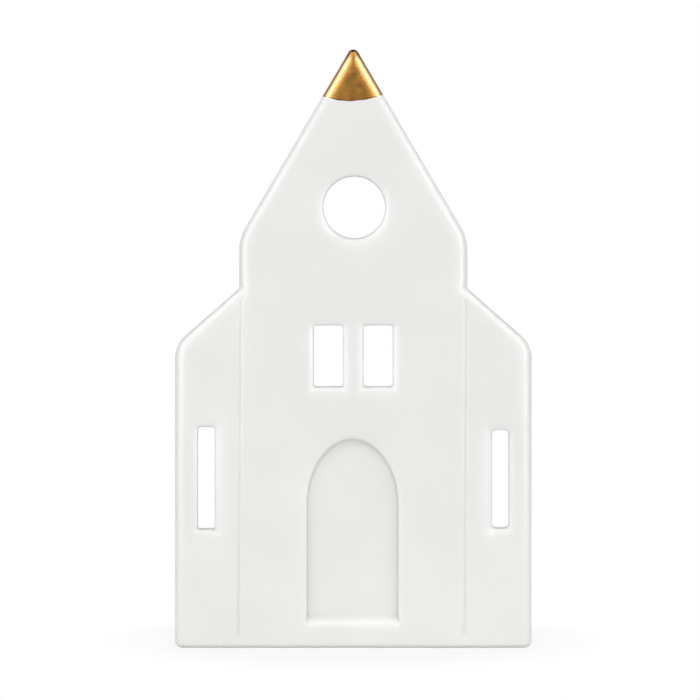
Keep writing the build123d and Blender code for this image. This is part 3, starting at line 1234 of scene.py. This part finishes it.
def stage_material(name):
    """A material with nothing in its node tree yet."""
    material = bpy.data.materials.new(name)
    material.use_nodes = True
    material.node_tree.nodes.clear()
    return material, material.node_tree


def stage_plane(name, material, first, second, way):
    """A flat piece of the stage, from two corners and the way from them to the other two."""
    corners = [first, second, Vector(second) + Vector(way), Vector(first) + Vector(way)]
    plane = mesh_object(name, corners, [(0, 1, 2, 3)], material)
    return plane


def make_floor():
    """Pale floor that fades to the white backdrop and keeps the shadow near the house."""
    material, tree = stage_material("floor")
    place = add_node(tree, "TexCoord", {}).outputs["Object"]
    away = add_node(tree, "VectorMath", {0: place}, operation="LENGTH").outputs["Value"]
    white_share = ranged(away, backdrop_near, backdrop_far, backdrop_share_near, 1)
    factor = worked_out("MULTIPLY", seen_flag(tree), white_share)
    matt = add_node(tree, "BsdfDiffuse", {"Color": floor_color}).outputs[0]
    white = add_node(tree, "Emission", {"Strength": 1.0}).outputs[0]
    shown = add_node(tree, "MixShader", {0: factor, 1: matt, 2: white}).outputs[0]
    add_node(tree, "OutputMaterial", {"Surface": shown})
    reach = floor_half_width
    stage_plane("floor", material, (-reach, -reach, 0), (reach, -reach, 0), (0, 2 * reach, 0))


def make_world():
    """White to the eye and in reflections. As a light on the object it is dimmer, and stronger
    from above and from the sides."""
    world = bpy.data.worlds.new("studio")
    bpy.context.scene.world = world
    world.use_nodes = True
    background = world.node_tree.nodes["Background"]
    direction = add_node(background, "TexCoord", {}).outputs["Generated"]
    aside = worked_out("ABSOLUTE", part_of(direction, "X"))
    overhead = ranged(part_of(direction, "Z"), 0, 1, ambient_level, ambient_top)
    ambient = worked_out("MULTIPLY_ADD", aside, ambient_side, overhead)
    strength = ranged(seen_flag(background), 0, 1, ambient, 1)
    fill_inputs(background, {"Color": (1, 1, 1, 1), "Strength": strength})


def add_card(name, first, second, way, level):
    """Dull card that only reflections show."""
    material, tree = stage_material(name)
    dull = add_node(tree, "Emission", {"Strength": level}).outputs[0]
    add_node(tree, "OutputMaterial", {"Surface": dull})
    card = stage_plane(name, material, first, second, way)
    card.visible_camera = False
    card.visible_diffuse = False
    card.visible_transmission = False
    card.visible_shadow = False


def add_lamp(name, place, size, power):
    """Soft rectangular lamp turned to the middle of the house."""
    data = bpy.data.lights.new(name, "AREA")
    data.shape = "RECTANGLE"
    data.size, data.size_y = size
    data.energy = power
    lamp = placed(name, data)
    lamp.location = place
    to_house = Vector((0, 0, house_height / 2 * MM)) - lamp.location
    lamp.rotation_euler = to_house.to_track_quat("-Z", "Y").to_euler()
    lamp.visible_camera = False


# Camera, placed from the photograph: pixels of its 700 by 700 frame, and millimetres
frame_pixels = 700
pixel_size = 0.4005
middle_pixel = 353.3
base_pixel = 647.8
camera_distance = 1000.0
sensor_width = 36.0


def make_camera():
    """Level camera square to the front, on the photograph's middle."""
    data = bpy.data.cameras.new("camera")
    data.sensor_width = sensor_width
    data.lens = sensor_width * camera_distance / (frame_pixels * pixel_size)
    data.clip_start = camera_distance * MM / 100
    camera = placed("camera", data)
    camera.location = (
        (frame_pixels / 2 - middle_pixel) * pixel_size * MM,
        (front_y + edge_radius - camera_distance) * MM,
        (base_pixel - frame_pixels / 2) * pixel_size * MM,
    )
    camera.rotation_euler = (pi / 2, 0, 0)
    bpy.context.scene.camera = camera


# The whole scene
gildable = make_shell(glaze_material())
make_gilding(gildable, gold_material())
make_cup(marked_material("pressed_aluminium"))
make_wax(wax_material())
make_wick(marked_material("waxed_cotton"))
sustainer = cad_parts["wick_sustainer"]
sustainer.data.materials.clear()
sustainer.data.materials.append(marked_material("tinplate"))
make_floor()
make_world()
for name, values in cards.items():
    add_card(name, *values)
for name, values in lamps.items():
    add_lamp(name, *values)
make_camera()
bpy.context.scene.view_settings.view_transform = "Standard"
